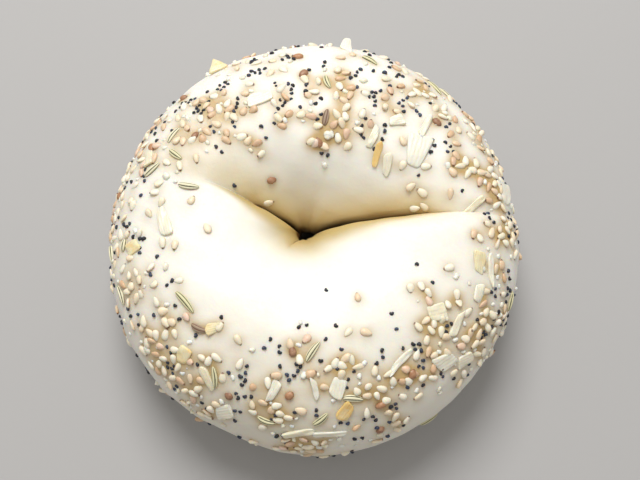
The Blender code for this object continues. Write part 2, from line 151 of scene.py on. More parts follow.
def dough_point(bearing, section):
    """Points of the skin: in each half plane through the hole a superellipse from the throat to
    the rim, swollen by a few slow waves, lowered by the creases and flat where it stands."""
    rim = rim_distance(bearing)
    throat = THROAT + THROAT_SLOT * np.cos(turn(bearing, SLOT_BEARING) / 2) ** SLOT_SHARPNESS
    swell = 1 + sum(
        share * np.cos(around * bearing + across * section + phase)
        for around, across, phase, share in WAVES
    )
    radius = (rim + throat) / 2
    radius = radius + (rim - throat) / 2 * signed_power(np.cos(section), FULLNESS) * swell
    lift = signed_power(np.sin(section), FULLNESS)
    crown = (CROWN + CROWN_RISE * np.cos(2 * turn(bearing, CROWN_BEARING)) - BELLY) * swell
    height = BELLY + np.where(lift > 0, crown * lift * (1 - valleys(bearing, radius)), SAG * lift)
    foot = np.clip(height + FOOT_EDGE, 0, None) ** 2 / (4 * FOOT_EDGE)
    height = np.where(height > FOOT_EDGE, height, foot)
    x = HOLE_X + radius * np.cos(bearing)
    y = HOLE_Y + radius * np.sin(bearing)
    return np.stack([x, y, height], -1)


def skin_normal(bearing, section):
    """The outward normal: the cross product of two small steps over the skin."""
    step = 0.004
    point = dough_point(bearing, section)
    around = dough_point(bearing + step, section) - point
    across = dough_point(bearing, section + step) - point
    normal = np.cross(around, across)
    return normal / np.linalg.norm(normal, axis=-1, keepdims=True)


# Sesame seeds, hulled: flat cream teardrops, some toasted tan or pinkish, with a brown speck at
# the pointed end. They were pressed on by rolling the wet dough in them, so they lie in drifts
# round the top and sides, sunk in by half, and stop short of the bare dough round the hole.

DRIFTS = (
    (101, 45, 3, 4), (114, 57, 3, 3), (122, 68, 3, 2), (128, 68, 3, 4), (116, 77, 3, 2),
    (132, 77, 3, 4), (134, 86, 2, 2), (142, 73, 4, 3), (146, 65, 3, 3), (140, 52, 4, 4),
    (146, 24, 3, 4), (158, 39, 3, 4), (158, 71, 2, 3), (127, 97, 2, 3), (102, 92, 2, 3),
    (86, 84, 2, 4), (85, 96, 3, 4), (170, 18, 3, 3), (180, 27, 4, 5), (164, 68, 6, 2),
    (86, 26, 2, 2), (76, 52, 3, 4), (77, 69, 2, 2), (72, 79, 2, 3), (71, 98, 3, 4),
    (58, 91, 2, 4), (56, 72, 3, 3), (53, 41, 5, 4), (47, 51, 4, 4), (50, 77, 3, 2),
    (37, 59, 2, 2), (29, 39, 5, 4), (34, 23, 3, 3), (18, 60, 3, 4), (20, 35, 4, 3),
    (12, 48, 3, 5), (4, 35, 3, 5), (352, 58, 3, 3), (357, 30, 4, 5), (336, 44, 3, 6),
    (329, 60, 4, 4), (323, 46, 2, 5), (331, 27, 3, 4), (348, 43, 4, 4), (325, 73, 2, 2),
    (319, 61, 3, 7), (314, 49, 2, 2), (308, 55, 3, 5), (300, 54, 3, 6), (293, 47, 3, 6),
    (323, 33, 3, 3), (287, 56, 3, 3), (276, 66, 2, 3), (274, 17, 4, 6), (260, 45, 2, 3),
    (266, 28, 3, 5), (270, 16, 3, 4), (270, 84, 2, 3), (246, 55, 1, 2), (243, 26, 3, 5),
    (238, 42, 3, 4), (237, 28, 3, 5), (235, 56, 2, 3), (232, 38, 4, 6), (228, 53, 3, 5),
    (222, 48, 3, 6), (222, 29, 3, 4), (215, 52, 4, 3), (204, 41, 3, 4), (199, 48, 4, 3),
    (191, 25, 3, 4), (194, 59, 3, 2),
)
LOOSE_SHARE = 0.22
DRIFT_AROUND, DRIFT_ACROSS = 0.8 * HALF_WIDTH, 0.6 * CROWN
LOWEST_SECTION = -14 * DEG
BARE_BEARING, BARE_SPAN, BARE_RISE = 305 * DEG, 20 * DEG, 42 * DEG
TOP_LIMIT, TOP_LIMIT_BACK = 74 * DEG, 10 * DEG
TOP_LIMIT_RIGHT, TOP_LIMIT_OVAL = -5 * DEG, -15 * DEG
SESAME_SEED, SESAME_COUNT, SESAME_GAP = 11, 440, 1.65 * MM
SESAME_SIZE = np.array((2.75, 1.85, 1.1)) * MM
SEED_SPREAD, SEED_RANGE = 0.08, (0.8, 1.2)
SESAME_TAPER, SESAME_LIFT, SINGLE_TILT, DRIFT_TILT = 0.5, 0.24 * MM, 0.1, 0.25
SINGLE_TURN, SPECKLESS, SPECK_START, SPECK_SHARPNESS = 2.0, 0.4, 0.74, 8
UNDERSIDE_SHADE_LEVEL, UNDERSIDE_SHADE_SLOPE, UNDERSIDE_SHADE_SHARE = 0.45, 0.9, 0.7
SESAME_RINGS, SESAME_SIDES = 6, 8

# A drop is thickest at WIDEST of its length. A larger piece stands out of the skin by STANDING
# of its thickness, and loose seeds keep clear of its middle and of a point at PRESSED_SHARE of
# its length to either side. A heading leans up by HEADING_LEAN.
WIDEST, STANDING, PRESSED_SHARE, HEADING_LEAN = 0.43, 0.62, 0.3, 0.2

# The larger pieces that lie among the seeds, placed from the photograph: bearing and section
# angles, heading in plan (degrees), then length and width (mm).
FENNEL = (
    (147, 58, 60, 4.6), (154, 68, -40, 4.4), (162, 56, 35, 5.0), (166, 83, -10, 5.2),
    (68, 45, -40, 4.6), (80, 74, -72, 4.0), (77, 94, 78, 4.2), (47, 31, -62, 5.6),
    (188, 20, -58, 5.4), (202, 30, -80, 5.2), (218, 72, -52, 6.6), (229, 69, -25, 4.2),
    (242, 51, 88, 5.4), (274, 81, 55, 5.4), (285, 55, -15, 4.8), (260, 37, -35, 4.6),
    (275, 44, 45, 4.6), (340, 19, 75, 4.8), (188, 41, 85, 3.0), (44, 24, -50, 4.6),
    (97, 9, 20, 5.0), (131, 4, 75, 4.8), (25, -8, 60, 5.0), (304, -8, 30, 5.2),
)
FLAKES = (
    (118, 30, 28, 5.6, 5.2), (77, 32, 80, 4.0, 2.6), (110, 78, 20, 6.4, 3.4),
    (30, 82, 72, 8.0, 4.8), (40, 99, 75, 6.4, 1.7), (32, 98, 80, 6.0, 2.0),
    (48, 94, 60, 5.4, 1.9), (46, 79, 15, 3.6, 2.6), (37, 68, 58, 6.6, 1.7),
    (4, 61, 38, 7.2, 1.7), (345, 50, 85, 7.0, 1.5), (345, 58, 80, 5.0, 2.8),
    (323, 69, 10, 4.6, 4.0), (324, 56, 62, 6.0, 1.8), (303, 64, 43, 7.2, 1.6),
    (281, 62, 80, 5.0, 3.4), (274, 62, -75, 5.0, 1.4), (261, 57, 55, 5.2, 2.0),
    (230, 51, 70, 4.4, 3.4), (240, 48, -80, 6.4, 2.0), (233, 74, 10, 3.6, 2.4),
    (183, 72, -75, 7.4, 3.0), (269, 33, 14, 7.8, 1.8), (277, 33, -20, 7.8, 1.8),
    (282, 48, 60, 4.8, 3.0), (190, 50, 20, 4.0, 3.4), (314, 46, 15, 5.0, 4.2),
    (9, 30, 75, 6.0, 4.2), (157, 48, -75, 6.0, 2.6), (319, 35, 0, 4.4, 3.2),
    (248, 31, 20, 4.8, 3.8), (336, 53, 75, 4.4, 2.6),
)

# Single sesame seeds that strayed over the bare dough: bearing and section angles.
SESAME_SINGLES = (
    (148, 128), (189, 95), (290, 87), (297, 84), (302, 99), (286, 76), (284, 73), (294, 66),
    (339, 74), (240, 62), (248, 65), (261, 66), (244, 76), (235, 77), (220, 59), (152, 81),
    (16, 92), (12, 88), (9, 74), (6, 92), (6, 88), (27, 92), (22, 82), (37, 85), (30, 58),
    (72, 103), (66, 103), (84, 108),
)

marks = []


def press(points, reach, height, tint):
    """Every topping leaves its mark in the dough. Notes where some pieces lie, how far a mark
    reaches, how far the dough wells up there and how strongly painted contact shade darkens it."""
    marks.append((points.mean(1), reach, height, tint))


def top_limit(bearing):
    """The section angle where the toppings stop, a two-lobed wave round the ring."""
    oval = TOP_LIMIT_OVAL * np.cos(2 * bearing)
    return TOP_LIMIT + TOP_LIMIT_BACK * np.sin(bearing) + TOP_LIMIT_RIGHT * np.cos(bearing) + oval


def low_limit(bearing):
    """The section angle below which no topping lies, raised by a bell at the bare rim."""
    return LOWEST_SECTION + BARE_RISE * dent(bearing, BARE_BEARING, BARE_SPAN)


def pressed_points(pieces):
    """Three points along each listed piece, where no seed of the scatter may lie."""
    bearing, section, heading, length = np.array([piece[:4] for piece in pieces], float).T
    centre = dough_point(bearing * DEG, section * DEG)
    normal = skin_normal(bearing * DEG, section * DEG)
    pointing = np.stack([np.cos(heading * DEG), np.sin(heading * DEG), 0 * heading], -1)
    along = pointing - normal * (pointing * normal).sum(-1, keepdims=True)
    along *= PRESSED_SHARE * MM * length[:, None] / np.linalg.norm(along, axis=-1, keepdims=True)
    return np.concatenate([centre - along, centre, centre + along])


def scatter(seed, count, gap, places, drifts=DRIFTS, loose_share=LOOSE_SHARE, others=()):
    """Bearing, section and heading of count pieces, drawn one by one and kept a gap apart and
    from the places given, and clear of the others, (points, gap) pairs. A piece falls in a
    drift, spread normally about its centre, or loosely in the topped band."""
    random = np.random.default_rng(seed)
    shares = np.array([drift[3] for drift in drifts], float)
    kept = np.empty((0, 3))
    while len(kept) < count:
        loose = random.random() < loose_share
        drift = drifts[random.choice(len(drifts), p=shares / shares.sum())]
        offsets = random.normal(size=2)
        even = random.random(3)
        heading = even[2] * 2 * np.pi
        if loose:
            bearing = even[0] * 2 * np.pi
            section = low_limit(bearing) + even[1] * (top_limit(bearing) - low_limit(bearing))
        else:
            spread = drift[2] * MM
            bearing = drift[0] * DEG + offsets[0] * spread / DRIFT_AROUND
            section = drift[1] * DEG + offsets[1] * spread / DRIFT_ACROSS
        if section < LOWEST_SECTION:
            continue
        place = dough_point(np.array(bearing), np.array(section))
        near = [np.linalg.norm(points - place, axis=1).min() < clear
                for points, clear in ((places, gap), *others)]
        if any(near):
            continue
        kept = np.vstack([kept, [bearing, section, heading]])
        places = np.vstack([places, place])
    return kept


def spun_faces(rings, sides):
    """Faces of a closed surface: a pole, rings of sides points, and a pole."""
    ring = np.arange(rings)[:, None] * sides + 1
    side = np.arange(sides)
    after = (side + 1) % sides
    quads = np.stack(
        [ring[:-1] + side, ring[:-1] + after, ring[1:] + after, ring[1:] + side], -1
    ).reshape(-1, 4)
    last = rings * sides + 1
    start = np.stack([np.zeros(sides, int), 1 + after, 1 + side], -1)
    finish = np.stack([np.full(sides, last), last - sides + side, last - sides + after], -1)
    return quads, np.concatenate([start, finish])


def spun_grid(rings, sides):
    """Two parameters for spun_faces: the way along (0 to 1) and the angle round, pole to pole."""
    along = np.arange(1, rings + 1) / (rings + 1)
    angle = np.arange(sides) * 2 * np.pi / sides
    along = np.concatenate([[0], np.repeat(along, sides), [1]])
    return along, np.concatenate([[0], np.tile(angle, rings), [0]])


def lay(shapes, places, lift, rise=0, tilt=0, seed=0):
    """Moves shapes, an array of pieces by points by xyz, to their places on the dough: local X
    runs along the heading, local Z along the skin's normal, turned upwards by rise, a length of
    +Z added to it, and by a small random tilt. The middle is lifted off the skin."""
    bearing, section, heading = places.T
    point, normal = dough_point(bearing, section), skin_normal(bearing, section)
    random = np.random.default_rng(seed)
    lean = np.full_like(heading, HEADING_LEAN)
    pointing = np.stack([np.cos(heading), np.sin(heading), lean], -1)
    up = np.array((0.0, 0.0, 1.0)) * np.reshape(rise, (-1, 1))
    facing = normal + up + np.reshape(tilt, (-1, 1)) * random.normal(size=(len(places), 3))
    facing /= np.linalg.norm(facing, axis=-1, keepdims=True)
    across = np.cross(facing, pointing)
    across /= np.linalg.norm(across, axis=-1, keepdims=True)
    axes = np.stack([np.cross(across, facing), across, facing], 1)
    centre = point + normal * np.reshape(lift, (-1, 1))
    return centre[:, None] + shapes @ axes


def joined(name, points, faces, values, material):
    """One mesh of many like pieces. points is pieces by points by xyz, faces are the quads and
    triangles of one piece, and values holds a number for each point under each name."""
    quads, triangles = faces
    start = np.arange(len(points))[:, None, None] * points.shape[1]
    polygons = (quads + start).reshape(-1, 4).tolist()
    if len(triangles):
        polygons += (triangles + start).reshape(-1, 3).tolist()
    mesh = bpy.data.meshes.new(name)
    mesh.from_pydata(points.reshape(-1, 3).tolist(), [], polygons)
    for label, value in values.items():
        spread = np.broadcast_to(value, points.shape[:2]).astype(np.float32)
        mesh.attributes.new(label, "FLOAT", "POINT").data.foreach_set("value", spread.ravel())
    mesh.shade_smooth()
    mesh.materials.append(material)
    piece = bpy.data.objects.new(name, mesh)
    bpy.context.scene.collection.objects.link(piece)
    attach(piece, "root")
    return piece


class Link:
    """A socket of a material. Arithmetic on it adds Math nodes, and node adds any other."""

    def __init__(self, tree, socket=None):
        self.tree = tree
        self.socket = socket

    def node(self, kind, settings=None, inputs=None, output=0):
        """Adds a node of a kind, makes its settings, then sets or links its inputs."""
        made = self.tree.nodes.new(kind)
        for name, value in (settings or {}).items():
            if name == "stops":
                stops = made.color_ramp.elements
                for number, (place, colour) in enumerate(value):
                    stop = stops[number] if number < len(stops) else stops.new(place)
                    stop.position = place
                    stop.color = (*colour, 1)
            else:
                setattr(made, name, value)
        for name, value in (inputs or {}).items():
            if isinstance(value, Link):
                self.tree.links.new(value.socket, made.inputs[name])
            else:
                made.inputs[name].default_value = value
        return Link(self.tree, made.outputs[output])

    def maths(self, operation, first, second=0.0):
        """One Math node on links or numbers."""
        return self.node("ShaderNodeMath", {"operation": operation}, {0: first, 1: second})

    def __add__(self, other):
        return self.maths("ADD", self, other)

    def __sub__(self, other):
        return self.maths("SUBTRACT", self, other)

    def __rsub__(self, other):
        return self.maths("SUBTRACT", other, self)

    def __mul__(self, other):
        return self.maths("MULTIPLY", self, other)

    def __truediv__(self, other):
        return self.maths("DIVIDE", self, other)

    def __pow__(self, other):
        return self.maths("POWER", self, other)

    __radd__ = __add__
    __rmul__ = __mul__

    def held(self):
        """The value held between 0 and 1."""
        return self.node("ShaderNodeClamp", {}, {"Value": self})

    def value(self, name):
        """A number that the mesh carries at its points."""
        return self.node("ShaderNodeAttribute", {"attribute_name": name}, {}, "Fac")

    def mixed(self, share, first, second):
        """The first colour turning into the second by a share."""
        first, second = ((*c, 1) if isinstance(c, tuple) else c for c in (first, second))
        settings = {"data_type": "RGBA", "clamp_factor": True}
        return self.node("ShaderNodeMix", settings, {0: share, 6: first, 7: second}, 2)

    def noise(self, scale, detail=3.0, roughness=0.5):
        """Cloudy noise, scale cells to the metre, fixed to the piece."""
        place = self.node("ShaderNodeTexCoord", {}, {}, "Object")
        inputs = {"Vector": place, "Scale": scale, "Detail": detail, "Roughness": roughness}
        return self.node("ShaderNodeTexNoise", {}, inputs, "Fac")

    def relief(self, height, depth):
        """A normal from a height of 0 to 1, depth metres deep."""
        return self.node("ShaderNodeBump", {}, {"Distance": depth, "Height": height}, "Normal")


def finish_of(colour, roughness, normal, constants):
    """Feeds the Principled shader of the colour's material from links or values, and sets its
    constant sockets."""
    shader = colour.tree.nodes["Principled BSDF"]
    for socket, value in (("Base Color", colour), ("Roughness", roughness), ("Normal", normal)):
        if isinstance(value, Link):
            colour.tree.links.new(value.socket, shader.inputs[socket])
        else:
            shader.inputs[socket].default_value = value
    for socket, value in constants.items():
        shader.inputs[socket].default_value = value


def new_material(name):
    """A material and the link from which its nodes grow."""
    material = bpy.data.materials.new(name)
    material.use_nodes = True
    return material, Link(material.node_tree)


def drop_shape(along, angle, taper):
    """A flat teardrop of unit length, width and thickness: an ellipsoid whose halves narrow
    towards +X."""
    x = -np.cos(np.pi * along)
    girth = np.sin(np.pi * along) * (1 - taper * (x + 1) / 2) / (1 - WIDEST * taper)
    return np.stack([x, girth * np.cos(angle), girth * np.sin(angle)], -1) / 2


strays = [(b * DEG, s * DEG, SINGLE_TURN * n) for n, (b, s) in enumerate(SESAME_SINGLES)]
pressed = pressed_points([*FENNEL, *FLAKES])
sesame_places = np.concatenate([strays, scatter(SESAME_SEED, SESAME_COUNT, SESAME_GAP, pressed)])
SESAMES = len(sesame_places)
along, angle = spun_grid(SESAME_RINGS, SESAME_SIDES)
random = np.random.default_rng(21)
sizes = SESAME_SIZE * random.normal(1, SEED_SPREAD, (SESAMES, 3)).clip(*SEED_RANGE)
tilts = np.where(np.arange(SESAMES) < len(SESAME_SINGLES), SINGLE_TILT, DRIFT_TILT)
sesame_points = lay(
    drop_shape(along, angle, SESAME_TAPER) * sizes[:, None],
    sesame_places, SESAME_LIFT, tilt=tilts, seed=22,
)
shade, tips = random.random((2, SESAMES))
depth = np.sin(np.pi * along) * np.sin(angle)

sesame, link = new_material("sesame")
tone = link.value("shade") ** 1.2
hull = link.node("ShaderNodeValToRGB", {"stops": (
    (0.0, (0.90, 0.84, 0.70)), (0.45, (0.86, 0.76, 0.56)), (0.7, (0.80, 0.62, 0.42)),
    (0.88, (0.62, 0.38, 0.20)), (1.0, (0.80, 0.58, 0.46)),
)}, {"Fac": tone})
cloud = link.noise(900, 2.0)
hull = link.mixed(cloud * 0.3, hull, (0.90, 0.82, 0.66))
# Painted shade: the lower side of each seed turns tan, where it sits down in the dough.
rim = (UNDERSIDE_SHADE_LEVEL - link.value("depth") * UNDERSIDE_SHADE_SLOPE).held() * UNDERSIDE_SHADE_SHARE
hull = link.mixed(rim, hull, (0.55, 0.35, 0.18))
speck = link.value("tip") * ((link.value("along") - SPECK_START) * SPECK_SHARPNESS).held()
hull = link.mixed(speck, hull, (0.14, 0.05, 0.02))
finish_of(hull, cloud * 0.2 + 0.3, link.relief(link.noise(2600), 0.04 * MM), {
    "Subsurface Weight": 0.35, "Subsurface Radius": (1.0, 0.6, 0.35),
    "Subsurface Scale": 0.8 * MM})
joined("sesame", sesame_points, spun_faces(SESAME_RINGS, SESAME_SIDES),
       {"shade": shade[:, None], "along": along[None], "depth": depth[None],
        "tip": (tips > SPECKLESS)[:, None]},
       sesame)
press(sesame_points, reach=2.1 * MM, height=0.28 * MM, tint=0.57)

# Poppy seeds: blue-black kidneys a millimetre long, pitted and slightly glossy, dusted on in
# clumps and strings between the sesame seeds, with a few that strayed over the bare dough.

POPPY_CLUMPS = (
    (96, 48, 5), (108, 46, 4), (108, 58, 6), (119, 57, 4), (123, 60, 2), (119, 72, 2),
    (130, 49, 3), (132, 57, 6), (130, 61, 3), (136, 45, 4), (141, 23, 2), (103, 74, 2),
    (96, 79, 5), (100, 83, 3), (102, 88, 2), (124, 77, 2), (127, 82, 2), (136, 80, 2),
    (142, 86, 2), (134, 88, 2), (156, 47, 2), (164, 50, 3), (167, 32, 2), (182, 43, 3),
    (190, 55, 2), (89, 76, 2), (82, 58, 2), (70, 62, 3), (62, 74, 5), (58, 77, 2),
    (64, 31, 2), (56, 45, 3), (49, 61, 2), (48, 70, 3), (44, 64, 2), (42, 25, 3),
    (49, 37, 2), (72, 92, 2), (81, 96, 2), (56, 92, 2), (56, 97, 2), (46, 87, 2),
    (34, 56, 2), (28, 72, 2), (22, 64, 4), (12, 36, 2), (2, 50, 4), (1, 26, 4),
    (189, 55, 2), (207, 71, 2), (206, 33, 2), (226, 46, 2), (227, 35, 5), (226, 27, 3),
    (233, 27, 2), (251, 57, 5), (250, 48, 3), (252, 35, 2), (263, 26, 2), (262, 39, 3),
    (268, 68, 3), (268, 75, 3), (242, 26, 2), (310, 64, 2), (310, 61, 2), (308, 53, 3),
    (304, 52, 2), (293, 55, 3), (284, 62, 2), (296, 39, 3), (286, 40, 3), (274, 47, 2),
    (284, 25, 2), (321, 60, 3), (311, 42, 3), (340, 43, 2), (341, 31, 5), (336, 32, 3),
    (332, 31, 2), (325, 34, 3), (335, 20, 2), (120, 14, 4), (146, 8, 3), (82, 10, 4),
    (60, 4, 3), (172, 8, 3), (204, 4, 3), (30, 2, 3), (100, 0, 3), (222, -4, 3),
)
POPPY_SINGLES = (
    (196, 67), (202, 60), (220, 64), (213, 37), (230, 65), (272, 93), (268, 90), (256, 83),
    (260, 81), (262, 78), (262, 71), (285, 80), (280, 86), (285, 91), (154, 105), (74, 113),
    (336, 89), (286, 109), (331, 79), (311, 84), (314, 73), (308, 78), (116, 100), (116, 92),
    (276, 76), (288, 70), (300, 74), (298, 70), (306, 69), (68, 113), (44, 93), (42, 98),
    (20, 87), (138, 75), (135, 65), (76, 96), (84, 87), (26, 75), (10, 67), (233, 82),
)
POPPY_SEED, POPPY_LOOSE, POPPY_GAP, POPPY_CLEAR = 5, 120, 0.96 * MM, 1.25 * MM
POPPY_STEP, POPPY_STRETCH, POPPY_TRIES, POPPY_JITTER = 1.06 * MM, 1.7, 12, 0.4
STRAY_GAP, POPPY_LIFT, POPPY_TILT = 1.5 * MM, 0.15, 0.4
POPPY_SIZE = np.array((1.14, 0.98, 0.88)) * MM
WAIST, WAIST_SPAN, KIDNEY_BEND = 0.35, 0.35, 0.22
POPPY_RINGS, POPPY_SIDES = 5, 6


def kidney_shape(along, angle):
    """An ellipsoid of unit size bent into a kidney: one side is drawn in at the waist, and the
    ends lean towards that side."""
    x = -np.cos(np.pi * along)
    girth = np.sin(np.pi * along)
    y = girth * np.cos(angle)
    waist = WAIST * np.exp(-((x / WAIST_SPAN) ** 2)) * np.clip(y, 0, 1)
    return np.stack([x, y - waist + KIDNEY_BEND * x**2, girth * np.sin(angle)], -1) / 2


def clumped(seed, clumps, step, gap, others):
    """Bearing, section and heading of seeds that lie in clumps. The first lies at the clump's
    place, and each one after it a step away from an earlier one, in a random direction over the
    skin, where it keeps the gap from every other."""
    random = np.random.default_rng(seed)
    kept = []
    for bearing, section, number in clumps:
        clump = []
        for _ in range(POPPY_TRIES * number):
            here = np.array((bearing, section)) * DEG
            if clump:
                way = random.uniform(0, 2 * np.pi)
                here = np.array(clump[random.integers(len(clump))][:2])
                off = step * random.uniform(1, POPPY_STRETCH)
                here += off * np.array((np.cos(way) / DRIFT_AROUND, np.sin(way) / DRIFT_ACROSS))
            else:
                here += random.normal(0, POPPY_JITTER, 2) * step / DRIFT_AROUND
            place = dough_point(*here)
            taken = [np.linalg.norm(points - place, axis=1).min() < clear
                     for points, clear in others]
            placed = kept + clump
            if placed:
                apart = np.linalg.norm(dough_point(*np.array(placed).T[:2]) - place, axis=1)
                taken.append(apart.min() < gap)
            if not any(taken):
                clump.append((*here, random.uniform(0, 2 * np.pi)))
            if len(clump) == number:
                break
        kept += clump
    return np.array(kept)


others = [(sesame_points.mean(1), POPPY_CLEAR), (pressed, POPPY_CLEAR)]
clumps = [*POPPY_CLUMPS, *((b, s, 1) for b, s in POPPY_SINGLES)]
poppy_places = clumped(POPPY_SEED, clumps, POPPY_STEP, POPPY_GAP, others)
taken = dough_point(*poppy_places.T[:2])
loose = scatter(POPPY_SEED, POPPY_LOOSE, STRAY_GAP, taken, loose_share=1, others=others)
poppy_places = np.concatenate([poppy_places, loose])
POPPIES = len(poppy_places)
along, angle = spun_grid(POPPY_RINGS, POPPY_SIDES)
random = np.random.default_rng(31)
sizes = POPPY_SIZE * random.normal(1, SEED_SPREAD, (POPPIES, 1)).clip(*SEED_RANGE)
poppy_points = lay(kidney_shape(along, angle) * sizes[:, None], poppy_places,
                   POPPY_LIFT * POPPY_SIZE[2], tilt=POPPY_TILT, seed=32)

poppy, link = new_material("poppy")
pits = link.node("ShaderNodeTexVoronoi", {}, {
    "Vector": link.node("ShaderNodeTexCoord", {}, {}, "Object"), "Scale": 7000.0}, "Distance")
coat = link.mixed(link.value("shade") ** 3.0, (0.010, 0.011, 0.016), (0.05, 0.07, 0.13))
coat = link.mixed(pits * 0.5, coat, (0.03, 0.03, 0.04))
finish_of(coat, 0.34, link.relief(pits, 0.06 * MM), {})
joined("poppy", poppy_points, spun_faces(POPPY_RINGS, POPPY_SIDES),
       {"shade": random.random(POPPIES)[:, None]}, poppy)
press(poppy_points, reach=0.9 * MM, height=0.05 * MM, tint=0.12)

# Fennel seeds: slender, slightly bent husks with five pale ribs and dark green furrows between
# them, each pressed into the dough along its length.

FENNEL_WIDTH, FENNEL_THICK, FENNEL_BEND = 1.5 * MM, 1.3 * MM, 0.3 * MM
HUSK_FULLNESS, HUSK_TAPER, RIB_RISE, BEND_MIDDLE = 0.85, 0.12, 0.13, 0.4
FURROW, FURROW_SHARPNESS, RIB_WANDER = 0.12, 3.5, 0.3
TOASTED_HUSKS, TOASTED_SHARE = [6, 11], 0.75
MARKS_ALONG, MARK_BAND = (0.25, 0.5, 0.75), 0.06
FENNEL_RINGS, FENNEL_RIBS = 20, 5
FENNEL_SIDES = 6 * FENNEL_RIBS


def ribbed_husk(along, angle, lengths, bends):
    """Husks along X: a spindle whose girth is a root of a sine, ribbed by a cosine of five times
    the angle that fades at the tips, and bent sideways by a parabola."""
    x = -np.cos(np.pi * along)
    girth = np.sin(np.pi * along) ** HUSK_FULLNESS * (1 - HUSK_TAPER * x)
    girth = girth * (1 + RIB_RISE * np.cos(FENNEL_RIBS * angle) * np.sin(np.pi * along))
    y = girth * np.cos(angle) * FENNEL_WIDTH / 2 + bends[:, None] * (x**2 - BEND_MIDDLE)
    z = np.broadcast_to(girth * np.sin(angle) * FENNEL_THICK / 2, y.shape)
    return np.stack([x * lengths[:, None] / 2, y, z], -1)


bearing, section, heading, length = np.array(FENNEL, float).T
random = np.random.default_rng(41)
along, angle = spun_grid(FENNEL_RINGS, FENNEL_SIDES)
husks = ribbed_husk(along, angle, length * MM, random.normal(0, FENNEL_BEND, len(FENNEL)))
fennel_places = np.stack([bearing, section, heading], -1) * DEG
fennel_points = lay(husks, fennel_places, FENNEL_THICK * (STANDING - 0.5))
ribs = 0.5 + 0.5 * np.cos(FENNEL_RIBS * angle)

fennel, link = new_material("fennel")
rib = (link.value("rib") + (link.noise(1500) - 0.5) * RIB_WANDER).held()
pale = link.mixed(link.value("shade"), (0.70, 0.66, 0.38), (0.82, 0.77, 0.55))
husk = link.mixed(((rib - FURROW) * FURROW_SHARPNESS).held(), (0.06, 0.06, 0.02), pale)
husk = link.mixed(link.value("toasted"), husk, (0.20, 0.09, 0.06))
finish_of(husk, 0.5, link.relief(link.noise(2500), 0.05 * MM), {})
toasted = np.zeros(len(FENNEL))
toasted[TOASTED_HUSKS] = TOASTED_SHARE
joined("fennel", fennel_points, spun_faces(FENNEL_RINGS, FENNEL_SIDES), {
    "rib": ribs[None], "shade": random.random(len(FENNEL))[:, None], "toasted": toasted[:, None],
}, fennel)
for share in MARKS_ALONG:
    near = np.abs(along - share) < MARK_BAND
    press(fennel_points[:, near], reach=1.6 * MM, height=0.1 * MM, tint=0.5)

# Onion and garlic flakes: dried slices and strips, ivory to straw yellow, one or two toasted
# orange. They are thin, with ragged edges and faint veins, and curl a little as they dry.

FLAKE_THICK, FLAKE_LIFT, FLAKE_TILT = 1.0 * MM, 0.2, 0.06
FLAKE_CURL, FLAKE_TWIST, FLAKE_UNEVEN = 0.16 * MM, 0.12 * MM, 0.05 * MM
FLAKE_WAVES, FLAKE_PITCH, CURL_MIDDLE = 3, 5, 0.3
FLAKE_EDGE, FLAKE_FLATNESS, HALF_FLAKE = 0.4, 0.5, 0.45 * FLAKE_THICK
FLAKE_RINGS, FLAKE_SIDES = 14, 40
FLAKE_CUTS, FLAKE_SHARPNESS, FLAKE_SKEW = 6, 9, 0.2
CUT_NEAR, CUT_FAR, POINTED = 0.95, 1.25, 0.62
ON_EDGE, EDGE_RISE, EDGE_LIFT = 2, 2, 1.2 * MM
VEINS, VEIN_WANDER = 15, 6

# How far the flakes have gone from ivory to orange: the plain ones at most, the straw yellow
# ones and the toasted ones, by their numbers in the list.
IVORY, STRAW, TOASTED = 0.6, 0.8, 1.0
STRAW_FLAKES, TOASTED_FLAKES = [11, 18, 20, 25, 0], [4, 24]


def flake_outline(angle, count, random):
    """The radius of cut chips at each angle: a polygon in polar form, whose sides lie square to
    one another give or take a few degrees, with two corners cut off. 1 over the radius is a
    high-power mean of how far each side faces the angle, over that side's distance. The first
    chip is a triangle with its point to +Y."""
    square = np.arange(4) * np.pi / 2 + random.normal(0, FLAKE_SKEW, (count, 4))
    cuts = random.uniform(0, 2 * np.pi, (count, 2))
    facing = np.concatenate([square, cuts], 1)[:, :, None]
    away = np.concatenate([np.ones((count, 4)), random.uniform(CUT_NEAR, CUT_FAR, (count, 2))], 1)
    away = away[:, :, None]
    facing[0] = (np.arange(FLAKE_CUTS)[:, None] % 3) * 2 * np.pi / 3 - np.pi / 2
    away[0] = POINTED
    near = np.clip(np.cos(angle - facing) / away, 0, None)
    return (near**FLAKE_SHARPNESS).sum(1) ** (-1 / FLAKE_SHARPNESS)


def flake_shape(along, angle, lengths, widths, random):
    """Chips facing Z: the way along goes over the top from its centre, round the edge and back
    underneath. The outline is that of a cut chip, the top is uneven by three slow waves, and the
    whole chip is curled by a parabola."""
    count = len(lengths)
    tilt = np.pi * along
    out = np.sin(tilt) ** FLAKE_EDGE * flake_outline(angle, count, random)
    x, y = out * np.cos(angle), out * np.sin(angle)
    curl, lean = random.normal(0, 1, (2, count, 1))
    bend = FLAKE_CURL * curl * (x**2 - CURL_MIDDLE) + FLAKE_TWIST * lean * x * y
    uneven = 0
    for _ in range(FLAKE_WAVES):
        across, along_it, phase = random.uniform(-FLAKE_PITCH, FLAKE_PITCH, (3, count, 1))
        uneven = uneven + FLAKE_UNEVEN * np.sin(across * x + along_it * y + phase)
    z = HALF_FLAKE * signed_power(np.cos(tilt), FLAKE_FLATNESS) + bend + uneven
    return np.stack([x * lengths[:, None] / 2, y * widths[:, None] / 2, z], -1), y


